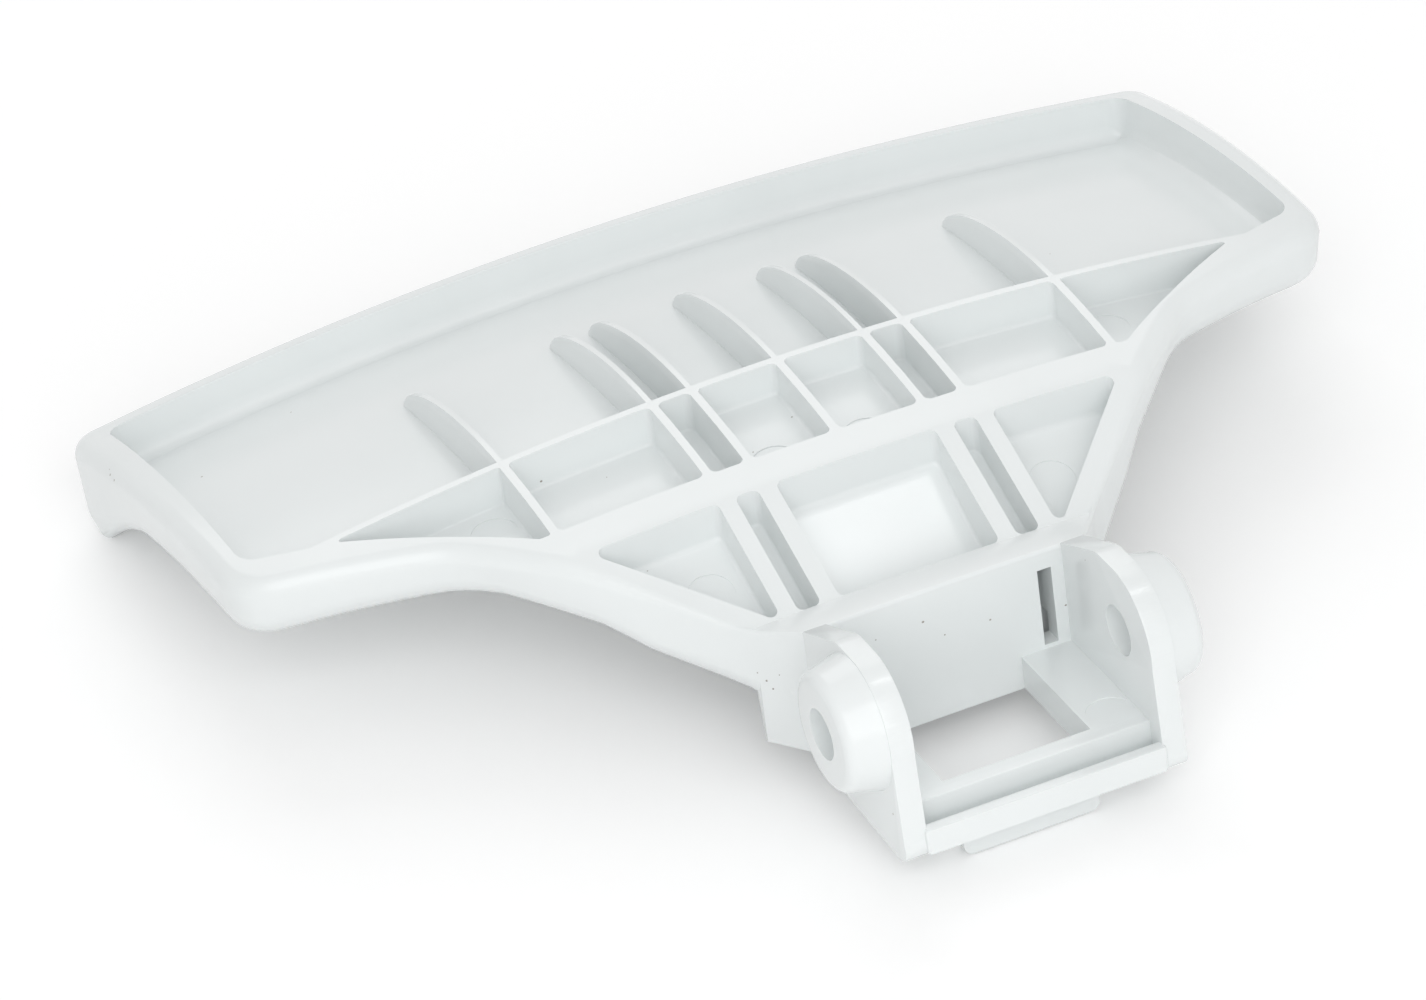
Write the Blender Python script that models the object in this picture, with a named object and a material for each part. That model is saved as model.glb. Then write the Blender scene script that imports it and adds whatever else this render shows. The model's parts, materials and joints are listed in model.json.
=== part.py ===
"""Door handle of a washing machine, moulded in one piece.

The handle is drawn in its moulding frame, in metres. The pin's axis is the X axis, reach is measured
along +Y from the pin to the grip's far edge, and +Z points out of the ribbed back. At the end the part
is turned into the way it lies on a table, on its grip lip and on the tooth under its hinge.
"""
import math

import bmesh
import bpy
from mathutils import Matrix, Vector

NODE = "door_handle"

# Grip blade in plan: half widths, reaches and corner radii
FAR_REACH = 0.1073
FAR_HALF_WIDTH = 0.0703
FRONT_CORNER_HALF_WIDTH = 0.0689
FRONT_CORNER_REACH = 0.0550
NECK_CORNER_HALF_WIDTH = 0.0462
NECK_CORNER_REACH = 0.0444
SHOULDER_HALF_WIDTH = 0.0219
SHOULDER_REACH = 0.0202
FAR_CORNER_RADIUS = 0.0034
FRONT_CORNER_RADIUS = 0.0085
NECK_CORNER_RADIUS = 0.0150
BOW_RADIUS = 0.700
FAR_BOW_RADIUS = 0.960
BOW_START_REACH = 0.0420
BOW_FULL_REACH = 0.0560

# Ribbed back: a crown along the reach, an arch from end to end, and the slope down to the hinge
CROWN_HEIGHT = 0.0120
CROWN_REACH = 0.0610
CROWN_RADIUS = 0.150
ARCH_RADIUS = 0.600
SLOPE_TOP_REACH = 0.0353
SLOPE_FOOT_REACH = 0.0198
SLOPE_FOOT_HEIGHT = 0.0028
WALL_TOP_HEIGHT = 0.0043
RIM_ROUND = 0.0022
EDGE_ROUND = 0.0004

# Underside, which is the face that the hand meets
HEEL_THICKNESS = 0.0108
HEEL_STEP_THICKNESS = 0.0103
NECK_THICKNESS = 0.0078
GRIP_THICKNESS = 0.0088
HEEL_REACH = 0.0320
HEEL_STEP = 0.0014
NECK_THICKNESS_REACH = 0.0435
NECK_END_REACH = 0.0460
GRIP_THICKNESS_REACH = 0.0600
SCOOP_START_REACH = 0.0860
SCOOP_RADIUS = 0.0290
LIP_REACH = 0.1015
LIP_OUTER_RISE = 0.0056
FACE_ROUND_FRONT = 0.0045
FACE_DRAFT = 0.0004
FACE_ROUND_ENDS = 0.0034
FACE_ROUND_LIP = 0.0014

# Tray, cells and slots in the back
TRAY_DEPTH = 0.0058
TRAY_FOOT_RADIUS = 0.0020
CELL_DEPTH = 0.0048
MIDDLE_CELL_DEPTH = 0.0041
NECK_POCKET_DEPTH = 0.0045
BIG_POCKET_NEAR_DEPTH = 0.0064
POCKET_CORNER_RADIUS = 0.0008
RIB_THICKNESS = 0.0010
RIB_PAST_CORNER = 0.0006
LONG_RIB_REACH = FRONT_CORNER_REACH + RIB_PAST_CORNER
BAND_FAR_REACH = 0.0399
BAND_NEAR_REACH = 0.0351
RIB_PLACES = (0.0, 0.0108, 0.0158, 0.0347)
FIN_LENGTH = 0.0300
FAR_WALL = 0.0033
TRAY_HALF_WIDTH = 0.0661
FRONT_WALL = 0.0045
NECK_WALL = 0.0027
CORNER_CELL_FOOT = 0.0366
CORNER_CELL_TIP = 0.0564
CORNER_CELL_RADIUS = 0.0004
BIG_POCKET_HALF_WIDTH = 0.0099
SLOT_NEAR_SIDE = 0.0121
SLOT_FAR_SIDE = 0.0149
NECK_TRIANGLE_SIDE = 0.0170

# Hinge: two ears with bosses on a floor that has a window in it
PIN_BORE = 0.0060
BOSS_DIAMETER = 0.0132
BOSS_LENGTH = 0.0045
BOSS_ROUND = 0.0012
EAR_GAP = 0.0288
EAR_THICKNESS = 0.0028
EAR_TOP_RADIUS = 0.0081
EAR_TOP_FLAT = 0.0040
EAR_FRONT_REACH = -0.0100
EAR_LOWEST = -0.0143
EAR_BACK_LOWEST = -0.0129
EAR_FOOT_RADIUS = 0.0015
HINGE_WALL_REACH = 0.0134
HINGE_WALL = 0.0024
FLOOR_TOP = -0.0086
FLOOR_THICKNESS = 0.0041
BLOCK_LOWEST = -0.0118
BLOCK_CORNER_RADIUS = 0.0010
BLOCK_HALF_WIDTH = 0.0209
BLOCK_FAR_REACH = 0.0224
BLOCK_LEAN = 0.0020
BLOCK_TOP = 0.0010
WINDOW_LEFT = -0.0098
WINDOW_RIGHT = 0.0082
WINDOW_FRONT_REACH = -0.0037
BAR_INNER_WALL = 0.0022
BAR_GROOVE = 0.0020
BAR_OUTER_WALL = 0.0014
BAR_OUTER_TOP = -0.0102
BAR_GROOVE_BOTTOM = -0.0121
BAR_LOWEST = -0.0134
SPRING_SLOT_LEFT = 0.0112
SPRING_SLOT_WIDTH = 0.0017
SPRING_SLOT_TOP = 0.0017
SPRING_SLOT_BOTTOM = -0.0081
CAVITY_END_WALL = 0.0025
CAVITY_TOP = -0.0055
TOOTH_WIDTH = 0.0166
TOOTH_LOWEST = -0.0176
TOOTH_CORNER_RADIUS = 0.0012

# Mesh fineness and the overlap that lets one solid run into the next
STATION_X = 0.0088
STATION_REACH = 0.0070
FINE_STATION = 0.0018
ARC_STEP = math.radians(18)
ROUND_SEGMENTS = 3
BORE_SEGMENTS = 48
SINK = 0.0008
CLEAR = 0.0080
SHARP_ANGLE = math.radians(30)

PLASTIC_COLOUR = (0.80, 0.82, 0.82, 1.0)
PLASTIC_ROUGHNESS = 0.32


def clear_scene():
    for item in list(bpy.data.objects):
        bpy.data.objects.remove(item, do_unlink=True)


def make_collection(name):
    group = bpy.data.collections.new(name)
    bpy.context.scene.collection.children.link(group)
    return group


def add_object(name, mesh, group, is_cutter=True):
    item = bpy.data.objects.new(name, mesh)
    group.objects.link(item)
    if is_cutter:
        item.hide_render = True
        item.display_type = "WIRE"
    return item


def plastic():
    material = bpy.data.materials.new("white_moulded_plastic")
    material.use_nodes = True
    shader = material.node_tree.nodes["Principled BSDF"]
    shader.inputs["Base Color"].default_value = PLASTIC_COLOUR
    shader.inputs["Roughness"].default_value = PLASTIC_ROUGHNESS
    shader.inputs["Metallic"].default_value = 0.0
    return material


def ramp(value, start, end):
    return min(1.0, max(0.0, (value - start) / (end - start)))


# The long rib and the far edge bow from end to end, and the neck stays straight
def bow(x, reach):
    easing = ramp(reach, BOW_FULL_REACH, FAR_REACH)
    radius = BOW_RADIUS + (FAR_BOW_RADIUS - BOW_RADIUS) * easing
    return x * x / (2.0 * radius) * ramp(reach, BOW_START_REACH, BOW_FULL_REACH)


def crown(reach):
    return CROWN_HEIGHT - (reach - CROWN_REACH) ** 2 / (2.0 * CROWN_RADIUS)


def back_height(x, reach):
    if reach >= SLOPE_TOP_REACH:
        height = crown(reach)
    elif reach >= SLOPE_FOOT_REACH:
        share = ramp(reach, SLOPE_FOOT_REACH, SLOPE_TOP_REACH)
        height = SLOPE_FOOT_HEIGHT + share * (crown(SLOPE_TOP_REACH) - SLOPE_FOOT_HEIGHT)
    else:
        share = ramp(reach, HINGE_WALL_REACH, SLOPE_FOOT_REACH)
        height = WALL_TOP_HEIGHT + share * (SLOPE_FOOT_HEIGHT - WALL_TOP_HEIGHT)
    return height - x * x / (2.0 * ARCH_RADIUS)


# A heel next to the hinge ends in a small step, and the neck is thinner than the grip
def thickness(reach):
    step_end = HEEL_REACH + HEEL_STEP
    amount = HEEL_THICKNESS
    amount += ramp(reach, HEEL_REACH, step_end) * (HEEL_STEP_THICKNESS - HEEL_THICKNESS)
    amount += ramp(reach, step_end, NECK_THICKNESS_REACH) * (NECK_THICKNESS - HEEL_STEP_THICKNESS)
    amount += ramp(reach, NECK_END_REACH, GRIP_THICKNESS_REACH) * (GRIP_THICKNESS - NECK_THICKNESS)
    return amount


# The underside keeps the grip's thickness, then scoops down to the lip and turns up to the far edge
def face_height(x, reach):
    held = min(reach, LIP_REACH)
    drop = max(0.0, held - SCOOP_START_REACH) ** 2 / (2.0 * SCOOP_RADIUS)
    height = back_height(x, held) - thickness(held) - drop
    if reach > LIP_REACH:
        height += LIP_OUTER_RISE * ramp(reach, LIP_REACH, FAR_REACH) ** 1.5
    return height


def plan_point(x, reach, height):
    return Vector((x, reach - bow(x, reach), height))


def mirrored(half):
    return half + [(-x, reach, radius) for x, reach, radius in reversed(half)]


# A closed outline from corners with radii, with no stretch longer than the longest one asked for
def rounded_outline(corners, longest=STATION_X):
    points = []
    count = len(corners)
    for index, (x, y, radius) in enumerate(corners):
        corner = Vector((x, y))
        before = (Vector(corners[index - 1][:2]) - corner).normalized()
        after = (Vector(corners[(index + 1) % count][:2]) - corner).normalized()
        if radius == 0.0:
            points.append(corner)
            continue
        half_angle = before.angle(after) / 2.0
        centre = corner + (before + after).normalized() * radius / math.sin(half_angle)
        first = corner + before * radius / math.tan(half_angle) - centre
        turn = math.pi - 2.0 * half_angle
        if before.cross(after) > 0.0:
            turn = -turn
        steps = max(2, math.ceil(abs(turn) / ARC_STEP))
        for step in range(steps + 1):
            points.append(centre + Matrix.Rotation(turn * step / steps, 2) @ first)
    outline = []
    for index, point in enumerate(points):
        following = points[(index + 1) % len(points)]
        pieces = max(1, math.ceil((following - point).length / longest))
        for piece in range(pieces):
            outline.append(point.lerp(following, piece / pieces))
    return outline


def spread(start, end, longest):
    steps = max(1, math.ceil((end - start) / longest))
    return [start + (end - start) * step / steps for step in range(1, steps)]


def stations_x():
    return [0.0] + [side * x for x in spread(0.0, FAR_HALF_WIDTH, STATION_X) for side in (-1, 1)]


def back_stations():
    marks = [SLOPE_FOOT_REACH, SLOPE_TOP_REACH, BOW_START_REACH, BOW_FULL_REACH]
    marks += spread(SLOPE_TOP_REACH, BOW_START_REACH, STATION_REACH)
    marks += spread(BOW_START_REACH, BOW_FULL_REACH, STATION_REACH)
    marks += spread(BOW_FULL_REACH, FAR_REACH, STATION_REACH)
    return marks


def face_stations():
    marks = [SLOPE_FOOT_REACH, HEEL_REACH, HEEL_REACH + HEEL_STEP, SLOPE_TOP_REACH, NECK_THICKNESS_REACH]
    marks += [BOW_START_REACH, BOW_FULL_REACH, GRIP_THICKNESS_REACH, SCOOP_START_REACH, LIP_REACH]
    marks += spread(BOW_START_REACH, BOW_FULL_REACH, STATION_REACH)
    marks += spread(GRIP_THICKNESS_REACH, SCOOP_START_REACH, STATION_REACH)
    marks += spread(SCOOP_START_REACH, LIP_REACH, 2.0 * FINE_STATION)
    marks += spread(LIP_REACH, FAR_REACH, FINE_STATION)
    return marks


def split_faces(mesh, faces, across, along):
    planes = [(Vector((x, 0.0, 0.0)), Vector((1.0, 0.0, 0.0))) for x in across]
    planes += [(Vector((0.0, reach, 0.0)), Vector((0.0, 1.0, 0.0))) for reach in along]
    for place, normal in planes:
        edges = {edge for face in faces for edge in face.edges}
        verts = {vert for face in faces for vert in face.verts}
        result = bmesh.ops.bisect_plane(mesh, geom=list(faces) + list(edges) + list(verts),
                                        plane_co=place, plane_no=normal, dist=1e-7)
        faces = [item for item in result["geom"] if isinstance(item, bmesh.types.BMFace)]
    return faces


def finish_mesh(mesh, name):
    bmesh.ops.triangulate(mesh, faces=mesh.faces)
    bmesh.ops.recalc_face_normals(mesh, faces=mesh.faces)
    data = bpy.data.meshes.new(name)
    mesh.to_mesh(data)
    mesh.free()
    return data


# A closed solid over an outline, between a lower and an upper height that follow the blade
def slab(name, outline, lower, upper, along, group):
    mesh = bmesh.new()
    base = mesh.faces.new([mesh.verts.new((point.x, point.y, 0.0)) for point in outline])
    faces = split_faces(mesh, [base], stations_x(), along)
    raised = bmesh.ops.extrude_face_region(mesh, geom=faces, use_keep_orig=True)["geom"]
    raised = {item for item in raised if isinstance(item, bmesh.types.BMVert)}
    for vert in mesh.verts:
        x, reach = vert.co.x, vert.co.y
        height = upper(x, reach) if vert in raised else lower(x, reach)
        vert.co = plan_point(x, reach, height)
    return add_object(name, finish_mesh(mesh, name), group)


def inward_directions(outline):
    directions = []
    for index, point in enumerate(outline):
        before = (point - outline[index - 1]).normalized()
        after = (outline[(index + 1) % len(outline)] - point).normalized()
        normal = Vector((-before.y, before.x)) + Vector((-after.y, after.x))
        normal.normalize()
        directions.append(normal / max(0.5, normal.dot(Vector((-after.y, after.x)))))
    return directions


def rim_round(reach):
    return EDGE_ROUND + (RIM_ROUND - EDGE_ROUND) * ramp(reach, SLOPE_FOOT_REACH, SLOPE_TOP_REACH)


def face_round(reach, direction):
    easing = ramp(reach, SCOOP_START_REACH, LIP_REACH)
    radius = FACE_ROUND_ENDS + (FACE_ROUND_LIP - FACE_ROUND_ENDS) * easing
    if direction.y > 0.0:
        radius += (FACE_ROUND_FRONT - radius) * min(1.0, direction.y) ** 2
    return radius


def blade_outline():
    return rounded_outline(mirrored([
        (EAR_GAP / 2.0 + EAR_THICKNESS, HINGE_WALL_REACH, 0.0),
        (SHOULDER_HALF_WIDTH, SHOULDER_REACH, 0.0),
        (NECK_CORNER_HALF_WIDTH, NECK_CORNER_REACH, NECK_CORNER_RADIUS),
        (FRONT_CORNER_HALF_WIDTH, FRONT_CORNER_REACH, FRONT_CORNER_RADIUS),
        (FAR_HALF_WIDTH, FAR_REACH, FAR_CORNER_RADIUS),
    ]))


# The grip as a solid lens: rounded rims round the outline, closed by the crowned back and the face
def blade_blank(group):
    outline = blade_outline()
    inward = inward_directions(outline)
    mesh = bmesh.new()
    rings = []
    for step in range(ROUND_SEGMENTS + 1):
        angle = math.pi / 2.0 * step / ROUND_SEGMENTS
        ring = []
        for point, direction in zip(outline, inward):
            radius = face_round(point.y, direction)
            draft = FACE_DRAFT * ramp(point.y, SHOULDER_REACH, HEEL_REACH)
            edge = point + direction * (draft + radius)
            place = point + direction * (draft + radius * (1.0 - math.sin(angle)))
            height = face_height(edge.x, edge.y) + radius * (1.0 - math.cos(angle))
            ring.append(mesh.verts.new((place.x, place.y, height)))
        rings.append(ring)
    for step in range(ROUND_SEGMENTS + 1):
        angle = math.pi / 2.0 * step / ROUND_SEGMENTS
        ring = []
        for point, direction in zip(outline, inward):
            radius = rim_round(point.y)
            edge = point + direction * radius
            place = point + direction * radius * (1.0 - math.cos(angle))
            height = back_height(edge.x, edge.y) - radius * (1.0 - math.sin(angle))
            ring.append(mesh.verts.new((place.x, place.y, height)))
        rings.append(ring)
    count = len(outline)
    for lower, upper in zip(rings, rings[1:]):
        for index in range(count):
            after = (index + 1) % count
            mesh.faces.new((lower[index], lower[after], upper[after], upper[index]))
    fixed = set(mesh.verts)
    face_cap = mesh.faces.new(list(reversed(rings[0])))
    back_cap = mesh.faces.new(rings[-1])
    for cap, along, height_at in ((face_cap, face_stations(), face_height),
                                  (back_cap, back_stations(), back_height)):
        rim = set(cap.edges)
        for face in split_faces(mesh, [cap], stations_x(), along):
            for vert in face.verts:
                if vert not in fixed:
                    vert.co.z = height_at(vert.co.x, vert.co.y)
                    fixed.add(vert)
    for vert in mesh.verts:
        vert.co = plan_point(*vert.co)
    return add_object("blade_blank", finish_mesh(mesh, "blade_blank"), group)


def rib_faces():
    half = RIB_THICKNESS / 2.0
    return [(place - half, place + half) for place in RIB_PLACES]


def below_back(depth):
    return lambda x, reach: back_height(x, reach) - depth


def above_back(x, reach):
    return back_height(x, reach) + CLEAR


# The tray's floor turns up into the far wall in a soft curve
def tray_floor(x, reach):
    start = FAR_REACH - FAR_WALL - TRAY_FOOT_RADIUS
    inset = min(max(0.0, reach - start), 0.9 * TRAY_FOOT_RADIUS)
    rise = TRAY_FOOT_RADIUS - math.sqrt(TRAY_FOOT_RADIUS ** 2 - inset ** 2)
    return back_height(x, reach) - TRAY_DEPTH + rise


def pocket(name, corners, depth, group):
    outline = rounded_outline(corners)
    return slab(name, outline, below_back(depth), above_back, back_stations(), group)


def with_radius(points, radius=POCKET_CORNER_RADIUS):
    return [(x, reach, radius) for x, reach in points]


def turned_over(corners):
    return [(-x, reach, radius) for x, reach, radius in reversed(corners)]


# Fins stand on the tray's floor behind the long rib and run out in a quarter of an ellipse
def fin_height(x, reach):
    share = ramp(reach, LONG_RIB_REACH, LONG_RIB_REACH + FIN_LENGTH)
    return back_height(x, reach) - TRAY_DEPTH * (1.0 - math.sqrt(1.0 - share * share))


def tray_cutter(group):
    half_rib = RIB_THICKNESS / 2.0
    far = FAR_REACH - FAR_WALL
    side = TRAY_HALF_WIDTH
    rise = (FRONT_CORNER_REACH - NECK_CORNER_REACH) / (FRONT_CORNER_HALF_WIDTH - NECK_CORNER_HALF_WIDTH)
    front = FRONT_CORNER_REACH + FRONT_WALL
    knee = side - (front - LONG_RIB_REACH - half_rib) / rise
    outline = rounded_outline(mirrored([
        (knee, LONG_RIB_REACH + half_rib, 0.0),
        (side, front, FAR_CORNER_RADIUS),
        (side, far, FAR_CORNER_RADIUS / 2.0),
    ]))
    marks = back_stations() + [far - TRAY_FOOT_RADIUS * share for share in (1.0, 0.6, 0.3, 0.1)]
    cutter = slab("tray", outline, tray_floor, above_back, marks, group)
    for place in sorted({side * x for x in RIB_PLACES for side in (-1, 1)}):
        tip = LONG_RIB_REACH + FIN_LENGTH
        box = [Vector((place - half_rib, LONG_RIB_REACH)), Vector((place + half_rib, LONG_RIB_REACH)),
               Vector((place + half_rib, tip)), Vector((place - half_rib, tip))]
        fin = slab("fin", box, below_back(TRAY_DEPTH + CLEAR), fin_height,
                   spread(LONG_RIB_REACH, tip, 1.5 * FINE_STATION), group)
        combine(cutter, fin, "DIFFERENCE")
    return cutter


def half_cells():
    near = BAND_FAR_REACH
    far = LONG_RIB_REACH - RIB_THICKNESS / 2.0
    faces = rib_faces()
    cells = []
    for (_, left), (right, _) in zip(faces, faces[1:]):
        depth = MIDDLE_CELL_DEPTH if left < SLOT_NEAR_SIDE / 2.0 else CELL_DEPTH
        cells.append((with_radius([(left, near), (right, near), (right, far), (left, far)]), depth))
    last = faces[-1][1]
    triangle = [(last, near), (CORNER_CELL_FOOT, near), (CORNER_CELL_TIP, far), (last, far)]
    cells.append((with_radius(triangle, CORNER_CELL_RADIUS), CELL_DEPTH))
    return cells


def half_neck_pockets():
    near = SLOPE_FOOT_REACH
    far = BAND_NEAR_REACH
    slot = [(SLOT_NEAR_SIDE, near), (SLOT_FAR_SIDE, near), (SLOT_FAR_SIDE, far), (SLOT_NEAR_SIDE, far)]
    slope = ((NECK_CORNER_HALF_WIDTH - SHOULDER_HALF_WIDTH) / (NECK_CORNER_REACH - SHOULDER_REACH))
    inset = NECK_WALL * math.sqrt(1.0 + slope * slope)
    edge_at = lambda reach: SHOULDER_HALF_WIDTH + (reach - SHOULDER_REACH) * slope - inset
    low = SHOULDER_REACH + (NECK_TRIANGLE_SIDE + inset - SHOULDER_HALF_WIDTH) / slope
    triangle = [(NECK_TRIANGLE_SIDE, low), (edge_at(far), far), (NECK_TRIANGLE_SIDE, far)]
    return [(with_radius(slot), NECK_POCKET_DEPTH), (with_radius(triangle), NECK_POCKET_DEPTH)]


# The floor of the big pocket dips towards the hinge in a hollow curve
def big_pocket_floor(x, reach):
    share = ramp(reach, BAND_NEAR_REACH, SLOPE_FOOT_REACH)
    extra = (BIG_POCKET_NEAR_DEPTH - NECK_POCKET_DEPTH) * math.sin(share * math.pi / 2.0)
    return back_height(x, reach) - NECK_POCKET_DEPTH - extra


def pocket_cutters(group):
    cutters = [tray_cutter(group)]
    for corners, depth in half_cells() + half_neck_pockets():
        cutters.append(pocket("pocket", corners, depth, group))
        cutters.append(pocket("pocket", turned_over(corners), depth, group))
    half = BIG_POCKET_HALF_WIDTH
    outline = rounded_outline(mirrored(with_radius([(half, SLOPE_FOOT_REACH), (half, BAND_NEAR_REACH)])))
    marks = spread(SLOPE_FOOT_REACH, BAND_NEAR_REACH, STATION_REACH / 2.0)
    cutters.append(slab("big_pocket", outline, big_pocket_floor, above_back, marks, group))
    return cutters


def combine(target, other, operation):
    other.parent = target
    step = target.modifiers.new(operation.lower() + "_" + other.name, "BOOLEAN")
    step.operation = operation
    step.solver = "EXACT"
    step.object = other


def box(name, low, high, group):
    mesh = bmesh.new()
    size = [top - bottom for bottom, top in zip(low, high)]
    centre = [(top + bottom) / 2.0 for bottom, top in zip(low, high)]
    place = Matrix.Translation(centre) @ Matrix.Diagonal((*size, 1.0))
    bmesh.ops.create_cube(mesh, size=1.0, matrix=place)
    return add_object(name, finish_mesh(mesh, name), group)


# A prism from an upright outline, drawn out along "x" or along "y"
def prism(name, outline, axis_name, low, high, group):
    axis = "xyz".index(axis_name)
    mesh = bmesh.new()
    corners = [Vector((point.x, point.x, point.y)) for point in outline]
    for corner in corners:
        corner[axis] = low
    base = mesh.faces.new([mesh.verts.new(corner) for corner in corners])
    raised = bmesh.ops.extrude_face_region(mesh, geom=[base], use_keep_orig=True)["geom"]
    for item in raised:
        if isinstance(item, bmesh.types.BMVert):
            item.co[axis] = high
    return add_object(name, finish_mesh(mesh, name), group)


def ear_outline():
    back = HINGE_WALL_REACH + SINK
    tangent_height = -EAR_TOP_RADIUS * 0.12
    points = rounded_outline([
        (EAR_FRONT_REACH, EAR_LOWEST, EAR_FOOT_RADIUS),
        (back, EAR_BACK_LOWEST, 0.0),
        (back, WALL_TOP_HEIGHT - SINK, 0.0),
        (HINGE_WALL_REACH, WALL_TOP_HEIGHT, 0.0),
        (EAR_TOP_FLAT, EAR_TOP_RADIUS, EAR_TOP_RADIUS / 2.0),
        (0.0, EAR_TOP_RADIUS, 0.0),
    ], longest=1.0)
    start = math.pi / 2.0
    end = math.pi + math.asin(-tangent_height / EAR_TOP_RADIUS)
    steps = math.ceil((end - start) / (ARC_STEP / 2.0))
    for step in range(1, steps + 1):
        angle = start + (end - start) * step / steps
        points.append(EAR_TOP_RADIUS * Vector((math.cos(angle), math.sin(angle))))
    return points


def tooth_outline():
    middle = (WINDOW_LEFT + WINDOW_RIGHT) / 2.0
    left = middle - TOOTH_WIDTH / 2.0
    right = middle + TOOTH_WIDTH / 2.0
    top = BAR_LOWEST + SINK
    return rounded_outline([
        (left, top, 0.0),
        (left, TOOTH_LOWEST, TOOTH_CORNER_RADIUS),
        (right, TOOTH_LOWEST, TOOTH_CORNER_RADIUS),
        (right, top, 0.0),
    ], longest=1.0)


def boss(name, side, group):
    inner = EAR_GAP / 2.0 + EAR_THICKNESS / 2.0
    outer = EAR_GAP / 2.0 + EAR_THICKNESS + BOSS_LENGTH
    radius = BOSS_DIAMETER / 2.0
    profile = [(outer, 0.0), (outer, radius - BOSS_ROUND)]
    for step in range(1, ROUND_SEGMENTS + 1):
        angle = math.pi / 2.0 * step / ROUND_SEGMENTS
        profile.append((outer - BOSS_ROUND * (1.0 - math.cos(angle)),
                        radius - BOSS_ROUND * (1.0 - math.sin(angle))))
    profile += [(inner, radius), (inner, 0.0)]
    mesh = bmesh.new()
    verts = [mesh.verts.new((side * x, 0.0, height)) for x, height in profile]
    edges = [mesh.edges.new(pair) for pair in zip(verts, verts[1:])]
    bmesh.ops.spin(mesh, geom=verts + edges, cent=(0.0, 0.0, 0.0), axis=(1.0, 0.0, 0.0),
                   angle=2.0 * math.pi, steps=BORE_SEGMENTS, use_merge=True)
    bmesh.ops.remove_doubles(mesh, verts=mesh.verts, dist=1e-7)
    return add_object(name, finish_mesh(mesh, name), group)


def pin_bore(group):
    mesh = bmesh.new()
    length = EAR_GAP + 2.0 * (EAR_THICKNESS + BOSS_LENGTH) + 2.0 * CLEAR
    turn = Matrix.Rotation(math.pi / 2.0, 4, "Y")
    bmesh.ops.create_cone(mesh, cap_ends=True, segments=BORE_SEGMENTS, radius1=PIN_BORE / 2.0,
                          radius2=PIN_BORE / 2.0, depth=length, matrix=turn)
    return add_object("pin_bore", finish_mesh(mesh, "pin_bore"), group)


# The block under the neck flares with the shoulders, and its far face leans in on the way down
def hinge_block(group):
    width = EAR_GAP / 2.0 + EAR_THICKNESS
    slope = (SHOULDER_HALF_WIDTH - width) / (SHOULDER_REACH - HINGE_WALL_REACH)
    outline = rounded_outline(mirrored([
        (width, HINGE_WALL_REACH, 0.0),
        (BLOCK_HALF_WIDTH, HINGE_WALL_REACH + (BLOCK_HALF_WIDTH - width) / slope, 0.0),
        (BLOCK_HALF_WIDTH, BLOCK_FAR_REACH, BLOCK_CORNER_RADIUS),
    ]))
    lower = lambda x, reach: BLOCK_LOWEST
    upper = lambda x, reach: BLOCK_TOP
    block = slab("hinge_block", outline, lower, upper, [], group)
    for vert in block.data.vertices:
        if vert.co.y > SHOULDER_REACH and vert.co.z < FLOOR_TOP:
            vert.co.y -= BLOCK_LEAN
    return block


def hinge_solids(group):
    inner = EAR_GAP / 2.0
    outer = inner + EAR_THICKNESS
    back = HINGE_WALL_REACH + SINK / 2.0
    bar_inner_front = WINDOW_FRONT_REACH - BAR_INNER_WALL
    groove_front = bar_inner_front - BAR_GROOVE
    bar_front = groove_front - BAR_OUTER_WALL
    side = inner + SINK
    floor_low = FLOOR_TOP - FLOOR_THICKNESS
    solids = [hinge_block(group)]
    for sign in (-1, 1):
        low, high = sorted((sign * inner, sign * outer))
        solids.append(prism("ear", ear_outline(), "x", low, high, group))
        solids.append(boss("boss", sign, group))
    solids.append(box("hinge_floor", (-side, WINDOW_FRONT_REACH - SINK, floor_low),
                      (side, back, FLOOR_TOP), group))
    solids.append(box("bar_inner_wall", (-side, bar_inner_front, BAR_LOWEST),
                      (side, WINDOW_FRONT_REACH, FLOOR_TOP), group))
    solids.append(box("bar_foot", (-side, groove_front - SINK, BAR_LOWEST),
                      (side, bar_inner_front + SINK, BAR_GROOVE_BOTTOM), group))
    solids.append(box("bar_outer_wall", (-side, bar_front, BAR_LOWEST),
                      (side, groove_front, BAR_OUTER_TOP), group))
    solids.append(prism("tooth", tooth_outline(), "y", bar_inner_front, WINDOW_FRONT_REACH, group))
    return solids


def hinge_cutters(group):
    floor_low = FLOOR_TOP - FLOOR_THICKNESS
    wall_back = HINGE_WALL_REACH + HINGE_WALL
    cavity_back = SHOULDER_REACH - HINGE_WALL
    cavity_side = EAR_GAP / 2.0 + EAR_THICKNESS - CAVITY_END_WALL
    window = box("window", (WINDOW_LEFT, WINDOW_FRONT_REACH, floor_low - CLEAR),
                 (WINDOW_RIGHT, HINGE_WALL_REACH, FLOOR_TOP + SINK), group)
    slot = box("spring_slot", (SPRING_SLOT_LEFT, HINGE_WALL_REACH - SINK, SPRING_SLOT_BOTTOM),
               (SPRING_SLOT_LEFT + SPRING_SLOT_WIDTH, wall_back + SINK, SPRING_SLOT_TOP), group)
    cavity = box("wall_cavity", (-cavity_side, wall_back, BLOCK_LOWEST - CLEAR),
                 (cavity_side, cavity_back, CAVITY_TOP), group)
    return [window, slot, cavity, pin_bore(group)]


# The Booleans are applied, so that the joined surface can be shaded by its own angles
def settle(item):
    graph = bpy.context.evaluated_depsgraph_get()
    joined = bpy.data.meshes.new_from_object(item.evaluated_get(graph), depsgraph=graph)
    item.modifiers.clear()
    item.data = joined
    joined.name = item.name
    joined.shade_smooth()
    joined.set_sharp_from_angle(angle=SHARP_ANGLE)


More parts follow.
